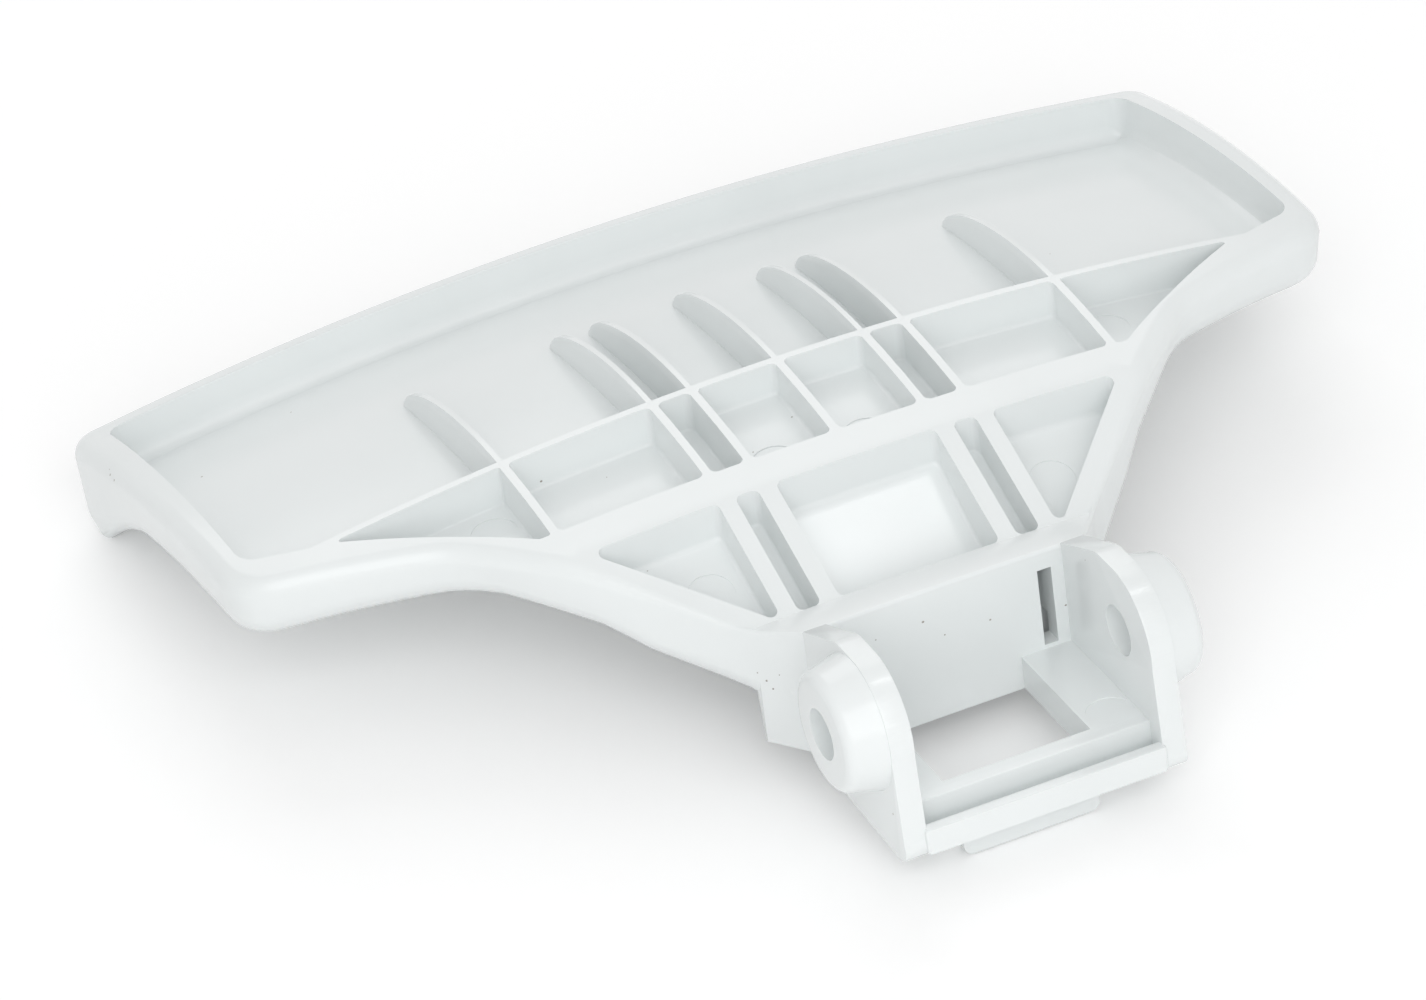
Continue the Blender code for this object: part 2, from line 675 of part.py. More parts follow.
# Turned to lie on the tooth and on the two ends of the grip lip, origin under the middle
def lay_down(item):
    end = FAR_HALF_WIDTH - FACE_ROUND_ENDS
    lip_reach = LIP_REACH - bow(end, LIP_REACH)
    lip_height = face_height(end, LIP_REACH)
    tooth_reach = WINDOW_FRONT_REACH - BAR_INNER_WALL
    tilt = math.atan2(lip_height - TOOTH_LOWEST, lip_reach - tooth_reach)
    item.rotation_euler.x = -tilt
    turned = Matrix.Rotation(-tilt, 4, "X")
    points = [turned @ vert.co for vert in item.data.vertices]
    for axis in range(2):
        values = [point[axis] for point in points]
        item.location[axis] = -(min(values) + max(values)) / 2.0
    item.location.z = -min(point.z for point in points)


def build():
    clear_scene()
    parts = make_collection("washing_machine_door_handle")
    cutters = make_collection("construction")
    handle = blade_blank(parts)
    handle.name = NODE
    handle.hide_render = False
    handle.display_type = "TEXTURED"
    handle.data.materials.append(plastic())
    for solid in hinge_solids(cutters):
        combine(handle, solid, "UNION")
    for cutter in pocket_cutters(cutters) + hinge_cutters(cutters):
        combine(handle, cutter, "DIFFERENCE")
    settle(handle)
    lay_down(handle)
    bpy.context.view_layer.update()


build()
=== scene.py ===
import json
import math

import bmesh
import bpy
from mathutils import Matrix, Vector

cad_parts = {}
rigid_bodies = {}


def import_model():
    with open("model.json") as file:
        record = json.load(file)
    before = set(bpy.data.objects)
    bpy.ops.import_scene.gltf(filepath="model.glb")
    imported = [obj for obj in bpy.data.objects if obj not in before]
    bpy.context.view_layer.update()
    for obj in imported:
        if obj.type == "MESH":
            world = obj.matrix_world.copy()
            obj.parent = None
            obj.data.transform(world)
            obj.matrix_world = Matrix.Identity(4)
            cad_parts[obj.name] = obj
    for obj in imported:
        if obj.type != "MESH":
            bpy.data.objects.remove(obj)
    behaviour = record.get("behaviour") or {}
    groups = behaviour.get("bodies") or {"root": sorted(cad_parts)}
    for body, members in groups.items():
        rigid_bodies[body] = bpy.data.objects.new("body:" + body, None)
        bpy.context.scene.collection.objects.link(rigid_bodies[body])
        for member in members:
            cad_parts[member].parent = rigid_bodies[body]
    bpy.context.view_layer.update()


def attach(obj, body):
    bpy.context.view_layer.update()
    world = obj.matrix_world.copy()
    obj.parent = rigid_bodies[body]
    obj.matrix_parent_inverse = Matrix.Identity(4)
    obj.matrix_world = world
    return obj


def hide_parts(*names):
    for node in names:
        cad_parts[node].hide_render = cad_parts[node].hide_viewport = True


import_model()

pieces = bpy.data.collections.new("door handle")
workshop = bpy.data.collections.new("workshop")  # cutters and other helpers, emptied at the end
bpy.context.scene.collection.children.link(pieces)
bpy.context.scene.collection.children.link(workshop)

# How the moulding lies on the table: turned about the pin's axis, then set down on lip and tooth
rest = {
    "tilt": 4.0644,  # degrees
    "pinAxisY": -0.048519,
    "pinAxisZ": 0.017293,
}
placed = (
    Matrix.Translation((0.0, rest["pinAxisY"], rest["pinAxisZ"]))
    @ Matrix.Rotation(-math.radians(rest["tilt"]), 4, "X")
)

sameSpot = 1e-7  # metres under which two corners count as one
anyLength = math.inf
clear = 0.0080  # how far a cutter stands out of what it cuts
softEdge = {"segments": 3, "angle": 40}  # facets of a soft edge, and the least turn in degrees that gets one

# Blade of the grip, in metres. Reach runs from the pin's axis to the far edge, and height out of the back
blade = {
    "farReach": 0.1073,
    "farHalfWidth": 0.0703,
    "frontCorner": (0.0689, 0.0550, 0.0085),  # half width, reach, radius
    "neckCorner": (0.0462, 0.0444, 0.0150),
    "shoulder": (0.0219, 0.0202),
    "farCornerRadius": 0.0034,
    "bowRadius": 0.700,
    "farBowRadius": 0.960,
    "bowStart": 0.0420,
    "bowFull": 0.0560,
    "crownHeight": 0.0120,
    "crownReach": 0.0610,
    "crownRadius": 0.150,
    "archRadius": 0.600,
    "slopeTop": 0.0353,
    "slopeFoot": 0.0198,
    "slopeFootHeight": 0.0028,
    "wallTop": 0.0043,
    "rimRound": 0.0022,
    "edgeRound": 0.0004,
    "lipReach": 0.1015,
    "lipRise": 0.0056,
    "scoopStart": 0.0860,
    "scoopRadius": 0.0290,
    "faceRoundFront": 0.0045,
    "faceRoundEnds": 0.0034,
    "faceRoundLip": 0.0014,
    "faceDraft": 0.0004,
    "faceDraftFull": 0.0320,
    "lipCurve": 1.5,
    "thicknessAt": (  # reach and thickness
        (0.0, 0.0108), (0.0320, 0.0108), (0.0334, 0.0103), (0.0435, 0.0078),
        (0.0460, 0.0078), (0.0600, 0.0088), (1.0, 0.0088),
    ),
    "acrossStep": 0.0030,  # longest facet from end to end
    "alongStep": 0.0026,
    "fineStep": 0.0008,
    "seamGap": 0.00001,  # between two cuts in the mesh
    "edgeGap": 0.0001,
    "roundSteps": 7,
    "leastArcSteps": 3,
    "arcStep": math.radians(9),
}


def ramp(value, start, end):
    return min(1.0, max(0.0, (value - start) / (end - start)))


def bow(x, reach):
    easing = ramp(reach, blade["bowFull"], blade["farReach"])
    radius = blade["bowRadius"] + (blade["farBowRadius"] - blade["bowRadius"]) * easing
    return x * x / (2.0 * radius) * ramp(reach, blade["bowStart"], blade["bowFull"])


def crown(reach):
    return blade["crownHeight"] - (reach - blade["crownReach"]) ** 2 / (2.0 * blade["crownRadius"])


def backHeight(x, reach):
    if reach >= blade["slopeTop"]:
        height = crown(reach)
    elif reach >= blade["slopeFoot"]:
        share = ramp(reach, blade["slopeFoot"], blade["slopeTop"])
        height = blade["slopeFootHeight"] + share * (crown(blade["slopeTop"]) - blade["slopeFootHeight"])
    else:
        share = ramp(reach, hinge["wallReach"], blade["slopeFoot"])
        height = blade["wallTop"] + share * (blade["slopeFootHeight"] - blade["wallTop"])
    return height - x * x / (2.0 * blade["archRadius"])


def thickness(reach):
    stations = blade["thicknessAt"]
    for (start, low), (end, high) in zip(stations, stations[1:]):
        if reach <= end:
            return low + (high - low) * ramp(reach, start, end)


def faceHeight(x, reach):
    held = min(reach, blade["lipReach"])
    drop = max(0.0, held - blade["scoopStart"]) ** 2 / (2.0 * blade["scoopRadius"])
    height = backHeight(x, held) - thickness(held) - drop
    if reach > blade["lipReach"]:
        height += blade["lipRise"] * ramp(reach, blade["lipReach"], blade["farReach"]) ** blade["lipCurve"]
    return height


def bent(x, reach, height):
    return Vector((x, reach - bow(x, reach), height))


def mirrored(half):
    return half + [(-x, reach, radius) for x, reach, radius in reversed(half)]


# A closed outline from corners with radii, with no stretch longer than the longest asked for
def roundedOutline(corners, longest=None):
    longest = longest or blade["acrossStep"]
    points = []
    for index, (x, y, radius) in enumerate(corners):
        corner = Vector((x, y))
        before = (Vector(corners[index - 1][:2]) - corner).normalized()
        after = (Vector(corners[(index + 1) % len(corners)][:2]) - corner).normalized()
        if radius == 0.0:
            points.append(corner)
            continue
        halfAngle = before.angle(after) / 2.0
        centre = corner + (before + after).normalized() * radius / math.sin(halfAngle)
        first = corner + before * radius / math.tan(halfAngle) - centre
        turn = math.pi - 2.0 * halfAngle
        if before.cross(after) > 0.0:
            turn = -turn
        steps = max(blade["leastArcSteps"], math.ceil(abs(turn) / blade["arcStep"]))
        for step in range(steps + 1):
            points.append(centre + Matrix.Rotation(turn * step / steps, 2) @ first)
    outline = []
    for index, point in enumerate(points):
        following = points[(index + 1) % len(points)]
        count = max(1, math.ceil((following - point).length / longest))
        outline += [point.lerp(following, piece / count) for piece in range(count)]
    return outline


def spread(start, end, longest):
    steps = max(1, math.ceil((end - start) / longest))
    return [start + (end - start) * step / steps for step in range(1, steps)]


def acrossStations():
    stations = [0.0]
    for x in spread(0.0, blade["farHalfWidth"], blade["acrossStep"]):
        stations += [-x, x]
    return stations


def stationsBetween(turns, longest):
    stations = list(turns)
    for start, end in zip(turns, turns[1:]):
        stations += spread(start, end, longest)
    return stations


# Where the back is cut into facets. The last cut is left out, because it is too near the rim
def backStations():
    turns = [blade[name] for name in ("slopeFoot", "slopeTop", "bowStart", "bowFull", "farReach")]
    return stationsBetween(turns, blade["alongStep"])[:-1]


def faceStations():
    turns = [blade[name] for name in ("slopeFoot", "slopeTop", "bowStart", "bowFull", "scoopStart")]
    turns += [reach for reach, _ in blade["thicknessAt"][1:-1]]
    lip = [blade["scoopStart"] + blade["seamGap"], blade["lipReach"], blade["farReach"] - blade["edgeGap"]]
    return stationsBetween(sorted(turns), blade["alongStep"]) + stationsBetween(lip, blade["fineStep"])


def splitFaces(mesh, faces, across, along):
    planes = [(Vector((x, 0.0, 0.0)), Vector((1.0, 0.0, 0.0))) for x in across]
    planes += [(Vector((0.0, reach, 0.0)), Vector((0.0, 1.0, 0.0))) for reach in along]
    for place, normal in planes:
        edges = dict.fromkeys(edge for face in faces for edge in face.edges)  # each once, in a fixed order
        verts = dict.fromkeys(vert for face in faces for vert in face.verts)
        area = list(faces) + list(edges) + list(verts)
        cut = bmesh.ops.bisect_plane(mesh, geom=area, plane_co=place, plane_no=normal, dist=sameSpot)
        faces = [item for item in cut["geom"] if isinstance(item, bmesh.types.BMFace)]
    return faces


def joinRings(mesh, rings):
    count = len(rings[0])
    for lower, upper in zip(rings, rings[1:]):
        for index in range(count):
            after = (index + 1) % count
            mesh.faces.new((lower[index], lower[after], upper[after], upper[index]))


# Cuts a cap into facets and lifts them to the height asked for, apart from the corners that are fixed
def shapeCap(mesh, cap, along, heightAt, fixed):
    for face in splitFaces(mesh, [cap], acrossStations(), along):
        for vert in face.verts:
            if vert not in fixed:
                vert.co.z = heightAt(vert.co.x, vert.co.y)
                fixed.add(vert)


def bendAll(mesh):
    for vert in mesh.verts:
        vert.co = bent(*vert.co)


def asObject(name, mesh, group=None):
    bmesh.ops.triangulate(mesh, faces=mesh.faces)
    bmesh.ops.recalc_face_normals(mesh, faces=mesh.faces)
    data = bpy.data.meshes.new(name)
    mesh.to_mesh(data)
    mesh.free()
    item = bpy.data.objects.new(name, data)
    (group or workshop).objects.link(item)
    return item


# Which way is in at each corner, with a longer step at a sharp corner, at most twice as long
def inwardDirections(outline):
    directions = []
    for index, point in enumerate(outline):
        before = (point - outline[index - 1]).normalized()
        after = (outline[(index + 1) % len(outline)] - point).normalized()
        normal = (Vector((-before.y, before.x)) + Vector((-after.y, after.x))).normalized()
        directions.append(normal / max(0.5, normal.dot(Vector((-after.y, after.x)))))
    return directions


def rimRound(reach):
    easing = ramp(reach, blade["slopeFoot"], blade["slopeTop"])
    return blade["edgeRound"] + (blade["rimRound"] - blade["edgeRound"]) * easing


def faceRound(reach, direction):
    easing = ramp(reach, blade["scoopStart"], blade["lipReach"])
    radius = blade["faceRoundEnds"] + (blade["faceRoundLip"] - blade["faceRoundEnds"]) * easing
    if direction.y > 0.0:
        radius += (blade["faceRoundFront"] - radius) * min(1.0, direction.y) ** 2
    return radius


def bladeBlank():
    outline = roundedOutline(mirrored([
        (hinge["earGap"] / 2.0 + hinge["earThickness"], hinge["wallReach"], 0.0),
        (*blade["shoulder"], 0.0),
        blade["neckCorner"],
        blade["frontCorner"],
        (blade["farHalfWidth"], blade["farReach"], blade["farCornerRadius"]),
    ]))
    inward = inwardDirections(outline)
    mesh = bmesh.new()
    rings = []
    angles = [math.pi / 2.0 * step / blade["roundSteps"] for step in range(blade["roundSteps"] + 1)]
    for angle in angles:
        ring = []
        for point, direction in zip(outline, inward):
            radius = faceRound(point.y, direction)
            draft = blade["faceDraft"] * ramp(point.y, blade["shoulder"][1], blade["faceDraftFull"])
            edge = point + direction * (draft + radius)
            place = point + direction * (draft + radius * (1.0 - math.sin(angle)))
            height = faceHeight(edge.x, edge.y) + radius * (1.0 - math.cos(angle))
            ring.append(mesh.verts.new((place.x, place.y, height)))
        rings.append(ring)
    for angle in angles:
        ring = []
        for point, direction in zip(outline, inward):
            radius = rimRound(point.y)
            edge = point + direction * radius
            place = point + direction * radius * (1.0 - math.cos(angle))
            height = backHeight(edge.x, edge.y) - radius * (1.0 - math.sin(angle))
            ring.append(mesh.verts.new((place.x, place.y, height)))
        rings.append(ring)
    joinRings(mesh, rings)
    fixed = set(mesh.verts)
    faceCap = mesh.faces.new(list(reversed(rings[0])))
    backCap = mesh.faces.new(rings[-1])
    shapeCap(mesh, faceCap, faceStations(), faceHeight, fixed)
    shapeCap(mesh, backCap, backStations(), backHeight, fixed)
    bendAll(mesh)
    return asObject("doorHandleBody", mesh, pieces)


# Tray, cells and pockets in the back
hollows = {
    "trayDepth": 0.0058,
    "cellDepth": 0.0048,
    "middleCellDepth": 0.0041,
    "neckDepth": 0.0045,
    "bigPocketDepth": 0.0064,
    "cornerRadius": 0.0008,
    "tipRadius": 0.0004,
    "footRadius": 0.0005,  # fillet where a wall meets its floor
    "footSteps": 4,
    "footShare": 0.7,  # of a corner's radius, where that is smaller than the fillet
    "trayFootRadius": 0.0020,
    "trayFootShare": 0.85,  # of that radius, which the floor rises at most
    "trayFootStep": 0.0004,
    "trayCorners": (0.0008, 0.0034, 0.0020),  # radii of the knee, the front corner and the far corner
    "narrow": 0.0050,  # a pocket less wide than this has a smaller fillet
    "narrowFoot": 0.0003,
    "middleReach": 0.0050,  # a cell that starts nearer the middle than this is a middle cell
    "ribThickness": 0.0010,
    "longRibReach": 0.0556,
    "bandFar": 0.0399,
    "bandNear": 0.0351,
    "ribPlaces": (0.0, 0.0108, 0.0158, 0.0347),
    "finLength": 0.0300,
    "farWall": 0.0033,
    "trayHalfWidth": 0.0661,
    "frontWall": 0.0045,
    "neckWall": 0.0027,
    "cornerCellFoot": 0.0366,
    "cornerCellTip": 0.0564,
    "bigPocketHalfWidth": 0.0099,
    "bigPocketStep": 0.0012,
    "slotSides": (0.0121, 0.0149),
    "triangleSide": 0.0170,
}


# A closed cutter over an outline: a floor at the height asked for, a fillet, and a top clear of the back
def hollow(name, corners, floorAt, along, foot):
    outline = roundedOutline(corners)
    inward = inwardDirections(outline)
    if (outline[1] - outline[0]).cross(outline[2] - outline[1]) < 0.0:
        inward = [-direction for direction in inward]
    mesh = bmesh.new()
    rings = []
    for step in range(hollows["footSteps"] + 1):
        angle = math.pi / 2.0 * step / hollows["footSteps"]
        ring = []
        for point, direction in zip(outline, inward):
            place = point + direction * foot * (1.0 - math.sin(angle))
            height = floorAt(place.x, place.y) + foot * (1.0 - math.cos(angle))
            ring.append(mesh.verts.new((place.x, place.y, height)))
        rings.append(ring)
    top = [(point.x, point.y, backHeight(point.x, point.y) + clear) for point in outline]
    rings.append([mesh.verts.new(place) for place in top])
    joinRings(mesh, rings)
    fixed = set(mesh.verts)
    mesh.faces.new(rings[-1])
    shapeCap(mesh, mesh.faces.new(list(reversed(rings[0]))), along, floorAt, fixed)
    bendAll(mesh)
    return asObject(name, mesh)


def below(depth):
    return lambda x, reach: backHeight(x, reach) - depth


def withRadius(points, radius=None):
    return [(x, reach, hollows["cornerRadius"] if radius is None else radius) for x, reach in points]


# The tray's floor turns up softly into the far wall and into both end walls
def trayFloor(x, reach):
    radius = hollows["trayFootRadius"]
    rise = 0.0
    for gap in (blade["farReach"] - hollows["farWall"] - reach, hollows["trayHalfWidth"] - abs(x)):
        if gap < radius:
            inset = radius - max(0.0, gap)
            rise = max(rise, radius - math.sqrt(max(0.0, radius * radius - inset * inset)))
    return backHeight(x, reach) - hollows["trayDepth"] + min(rise, hollows["trayFootShare"] * radius)


def trayStations():
    far = blade["farReach"] - hollows["farWall"]
    return backStations() + spread(far - hollows["trayFootRadius"], far, hollows["trayFootStep"])


def trayHollow():
    far = blade["farReach"] - hollows["farWall"]
    side = hollows["trayHalfWidth"]
    (frontX, frontReach, _), (neckX, neckReach, _) = blade["frontCorner"], blade["neckCorner"]
    front = frontReach + hollows["frontWall"]
    foot = hollows["longRibReach"] + hollows["ribThickness"] / 2.0
    knee = side - (front - foot) * (frontX - neckX) / (frontReach - neckReach)
    kneeRadius, frontRadius, farRadius = hollows["trayCorners"]
    corners = mirrored([(knee, foot, kneeRadius), (side, front, frontRadius), (side, far, farRadius)])
    return hollow("tray", corners, trayFloor, trayStations(), hollows["footRadius"])


def halfCells():
    near = hollows["bandFar"]
    far = hollows["longRibReach"] - hollows["ribThickness"] / 2.0
    half = hollows["ribThickness"] / 2.0
    faces = [(place - half, place + half) for place in hollows["ribPlaces"]]
    cells = []
    for (_, left), (right, _) in zip(faces, faces[1:]):
        depth = hollows["middleCellDepth"] if left < hollows["middleReach"] else hollows["cellDepth"]
        cells.append((withRadius([(left, near), (right, near), (right, far), (left, far)]), depth))
    last = faces[-1][1]
    triangle = [(last, near), (hollows["cornerCellFoot"], near), (hollows["cornerCellTip"], far), (last, far)]
    cells.append((withRadius(triangle, hollows["tipRadius"]), hollows["cellDepth"]))
    return cells


def halfNeckPockets():
    near, far = blade["slopeFoot"], hollows["bandNear"]
    left, right = hollows["slotSides"]
    slot = [(left, near), (right, near), (right, far), (left, far)]
    (shoulderX, shoulderReach), (neckX, neckReach, _) = blade["shoulder"], blade["neckCorner"]
    slope = (neckX - shoulderX) / (neckReach - shoulderReach)
    inset = hollows["neckWall"] * math.sqrt(1.0 + slope * slope)
    side = hollows["triangleSide"]
    low = shoulderReach + (side + inset - shoulderX) / slope
    triangle = [(side, low), (shoulderX + (far - shoulderReach) * slope - inset, far), (side, far)]
    return [(withRadius(slot), hollows["neckDepth"]), (withRadius(triangle), hollows["neckDepth"])]


def bigPocketFloor(x, reach):
    share = ramp(reach, hollows["bandNear"], blade["slopeFoot"])
    extra = (hollows["bigPocketDepth"] - hollows["neckDepth"]) * math.sin(share * math.pi / 2.0)
    return backHeight(x, reach) - hollows["neckDepth"] - extra


def allHollows():
    cutters = [trayHollow()]
    for corners, depth in halfCells() + halfNeckPockets():
        width = max(x for x, _, _ in corners) - min(x for x, _, _ in corners)
        foot = hollows["narrowFoot"] if width < hollows["narrow"] else hollows["footRadius"]
        if corners[0][2] < foot:
            foot = corners[0][2] * hollows["footShare"]
        turned = [(-x, reach, radius) for x, reach, radius in reversed(corners)]
        for side in (corners, turned):
            cutters.append(hollow("cell", side, below(depth), backStations(), foot))
    half = hollows["bigPocketHalfWidth"]
    corners = mirrored(withRadius([(half, blade["slopeFoot"]), (half, hollows["bandNear"])]))
    along = stationsBetween([blade["slopeFoot"], hollows["bandNear"]], hollows["bigPocketStep"])
    cutters.append(hollow("bigPocket", corners, bigPocketFloor, along, hollows["footRadius"]))
    return cutters


# Hinge: two ears with bosses, on a floor that has a window in it
hinge = {
    "pinBore": 0.0060,
    "bossFoot": 0.0162,  # diameters: the boss tapers, and its foot is flush with the ear's rim
    "bossEnd": 0.0142,
    "bossLength": 0.0045,
    "bossRound": 0.0014,
    "bossInset": 1.2,  # in soft edges of the ear, so that the boss starts inside it
    "bossTaperStart": 0.8,  # share of the ear's thickness
    "earGap": 0.0288,
    "earThickness": 0.0028,
    "earTopRadius": 0.0081,
    "earTopFlat": 0.0040,
    "earArcPast": 0.12,  # sine of the angle by which the round top goes on below the pin's axis
    "earArcSteps": 30,
    "earFront": -0.0100,
    "earLowest": -0.0143,
    "earBackLowest": -0.0129,
    "earFootRadius": 0.0018,
    "wallReach": 0.0134,
    "wall": 0.0024,
    "floorTop": -0.0086,
    "floorThickness": 0.0041,
    "blockLowest": -0.0118,
    "blockHalfWidth": 0.0209,
    "blockFar": 0.0224,
    "blockLean": 0.0020,
    "blockTop": 0.0010,
    "blockCorner": 0.0016,
    "windowLeft": -0.0098,
    "windowRight": 0.0082,
    "windowFront": -0.0037,
    "barInner": 0.0022,
    "barGroove": 0.0020,
    "barOuter": 0.0014,
    "barOuterTop": -0.0102,
    "grooveBottom": -0.0121,
    "barFootLift": 0.0002,
    "barLowest": -0.0134,
    "slotLeft": 0.0112,
    "slotWidth": 0.0017,
    "slotTop": 0.0017,
    "slotBottom": -0.0081,
    "slotDepth": 0.0068,
    "cavityEnd": 0.0025,
    "cavityTop": -0.0055,
    "toothWidth": 0.0166,
    "toothLowest": -0.0176,
    "toothCorner": 0.0012,
    "sink": 0.0008,
    "railSink": 0.0003,  # less than the rounds, so that no rail end shows through an ear's edge
    "earEdge": 0.0004,  # soft edges
    "railEdge": 0.0004,
    "blockEdge": 0.0012,
    "segments": 128,
}


def box(name, low, high):
    mesh = bmesh.new()
    size = [top - bottom for bottom, top in zip(low, high)]
    centre = [(top + bottom) / 2.0 for bottom, top in zip(low, high)]
    bmesh.ops.create_cube(mesh, size=1.0, matrix=Matrix.Translation(centre) @ Matrix.Diagonal((*size, 1.0)))
    return asObject(name, mesh)


def soften(item, width):
    step = item.modifiers.new("softEdges", "BEVEL")
    step.width = width
    step.segments = softEdge["segments"]
    step.limit_method = "ANGLE"
    step.angle_limit = math.radians(softEdge["angle"])
    settle(item)
    return item


# An outline drawn out along an axis, from low to high
def prismMesh(outline, axis, low, high):
    mesh = bmesh.new()
    corners = []
    for point in outline:
        corner = [point.x, point.y]
        corner.insert(axis, low)
        corners.append(mesh.verts.new(corner))
    base = mesh.faces.new(corners)
    raised = bmesh.ops.extrude_face_region(mesh, geom=[base], use_keep_orig=True)["geom"]
    for item in raised:
        if isinstance(item, bmesh.types.BMVert):
            item.co[axis] = high
    return mesh


def earOutline():
    back = hinge["wallReach"] + hinge["sink"]
    radius = hinge["earTopRadius"]
    points = roundedOutline([
        (hinge["earFront"], hinge["earLowest"], hinge["earFootRadius"]),
        (back, hinge["earBackLowest"], 0.0),
        (back, blade["wallTop"] - hinge["sink"], 0.0),
        (hinge["wallReach"], blade["wallTop"], 0.0),
        (hinge["earTopFlat"], radius, radius / 2.0),
        (0.0, radius, 0.0),
    ], longest=anyLength)
    start = math.pi / 2.0
    end = math.pi + math.asin(hinge["earArcPast"])
    steps = hinge["earArcSteps"]
    for step in range(1, steps + 1):
        angle = start + (end - start) * step / steps
        points.append(radius * Vector((math.cos(angle), math.sin(angle))))
    return points


def boss(side):
    inner = hinge["earGap"] / 2.0 + hinge["bossInset"] * hinge["earEdge"]
    outer = hinge["earGap"] / 2.0 + hinge["earThickness"] + hinge["bossLength"]
    taperStart = hinge["earGap"] / 2.0 + hinge["earThickness"] * hinge["bossTaperStart"]
    radius = hinge["bossEnd"] / 2.0
    foot = hinge["bossFoot"] / 2.0
    curve = hinge["bossRound"]
    profile = [(outer, 0.0), (outer, radius - curve)]
    for step in range(1, blade["roundSteps"] + 1):
        angle = math.pi / 2.0 * step / blade["roundSteps"]
        profile.append((outer - curve * (1.0 - math.cos(angle)), radius - curve * (1.0 - math.sin(angle))))
    profile += [(taperStart, foot), (inner, foot), (inner, 0.0)]
    mesh = bmesh.new()
    verts = [mesh.verts.new((side * x, 0.0, height)) for x, height in profile]
    edges = [mesh.edges.new(pair) for pair in zip(verts, verts[1:])]
    bmesh.ops.spin(
        mesh, geom=verts + edges, cent=(0.0, 0.0, 0.0), axis=(1.0, 0.0, 0.0),
        angle=2.0 * math.pi, steps=hinge["segments"], use_merge=True,
    )
    bmesh.ops.remove_doubles(mesh, verts=mesh.verts, dist=sameSpot)
    return asObject("boss", mesh)


def pinBore():
    mesh = bmesh.new()
    radius = hinge["pinBore"] / 2.0
    length = hinge["earGap"] + 2.0 * (hinge["earThickness"] + hinge["bossLength"]) + 2.0 * clear
    bmesh.ops.create_cone(
        mesh, cap_ends=True, segments=hinge["segments"], radius1=radius, radius2=radius,
        depth=length, matrix=Matrix.Rotation(math.pi / 2.0, 4, "Y"),
    )
    return asObject("pinBore", mesh)


def hingeBlock():
    width = hinge["earGap"] / 2.0 + hinge["earThickness"]
    shoulderX, shoulderReach = blade["shoulder"]
    slope = (shoulderX - width) / (shoulderReach - hinge["wallReach"])
    outline = roundedOutline(mirrored([
        (width, hinge["wallReach"], 0.0),
        (hinge["blockHalfWidth"], hinge["wallReach"] + (hinge["blockHalfWidth"] - width) / slope, 0.0),
        (hinge["blockHalfWidth"], hinge["blockFar"], hinge["blockCorner"]),
    ]), longest=anyLength)
    mesh = prismMesh(outline, 2, hinge["blockLowest"], hinge["blockTop"])
    for vert in mesh.verts:
        if vert.co.y > shoulderReach and vert.co.z < hinge["floorTop"]:
            vert.co.y -= hinge["blockLean"]
    return soften(asObject("hingeBlock", mesh), hinge["blockEdge"])


def hingeSolids():
    inner = hinge["earGap"] / 2.0
    outer = inner + hinge["earThickness"]
    sink = hinge["sink"]
    side = inner + sink
    railEnd = inner + hinge["railSink"]
    floorTop = hinge["floorTop"]
    windowFront = hinge["windowFront"]
    innerFront = windowFront - hinge["barInner"]
    grooveFront = innerFront - hinge["barGroove"]
    barFront = grooveFront - hinge["barOuter"]
    lowest = hinge["barLowest"]
    middle = (hinge["windowLeft"] + hinge["windowRight"]) / 2.0
    left, right = middle - hinge["toothWidth"] / 2.0, middle + hinge["toothWidth"] / 2.0
    solids = [hingeBlock()]
    for sign in (-1, 1):
        ear = prismMesh(earOutline(), 0, *sorted((sign * inner, sign * outer)))
        solids.append(soften(asObject("ear", ear), hinge["earEdge"]))
        solids.append(boss(sign))
    floorFront, floorFoot = windowFront - sink, floorTop - hinge["floorThickness"]
    floorBack = hinge["wallReach"] + sink / 2.0
    solids.append(box("hingeFloor", (-side, floorFront, floorFoot), (side, floorBack, floorTop)))
    barInner = box("barInner", (-railEnd, innerFront, lowest), (railEnd, windowFront, floorTop))
    solids.append(soften(barInner, hinge["railEdge"]))
    barFoot = lowest + hinge["barFootLift"]
    barFootTop = hinge["grooveBottom"]
    solids.append(box("barFoot", (-side, grooveFront - sink, barFoot), (side, innerFront + sink, barFootTop)))
    barOuter = box("barOuter", (-railEnd, barFront, lowest), (railEnd, grooveFront, hinge["barOuterTop"]))
    solids.append(soften(barOuter, hinge["railEdge"]))
    tooth = roundedOutline([
        (left, lowest + sink, 0.0),
        (left, hinge["toothLowest"], hinge["toothCorner"]),
        (right, hinge["toothLowest"], hinge["toothCorner"]),
        (right, lowest + sink, 0.0),
    ], longest=anyLength)
    solids.append(asObject("tooth", prismMesh(tooth, 1, innerFront, windowFront)))
    return solids


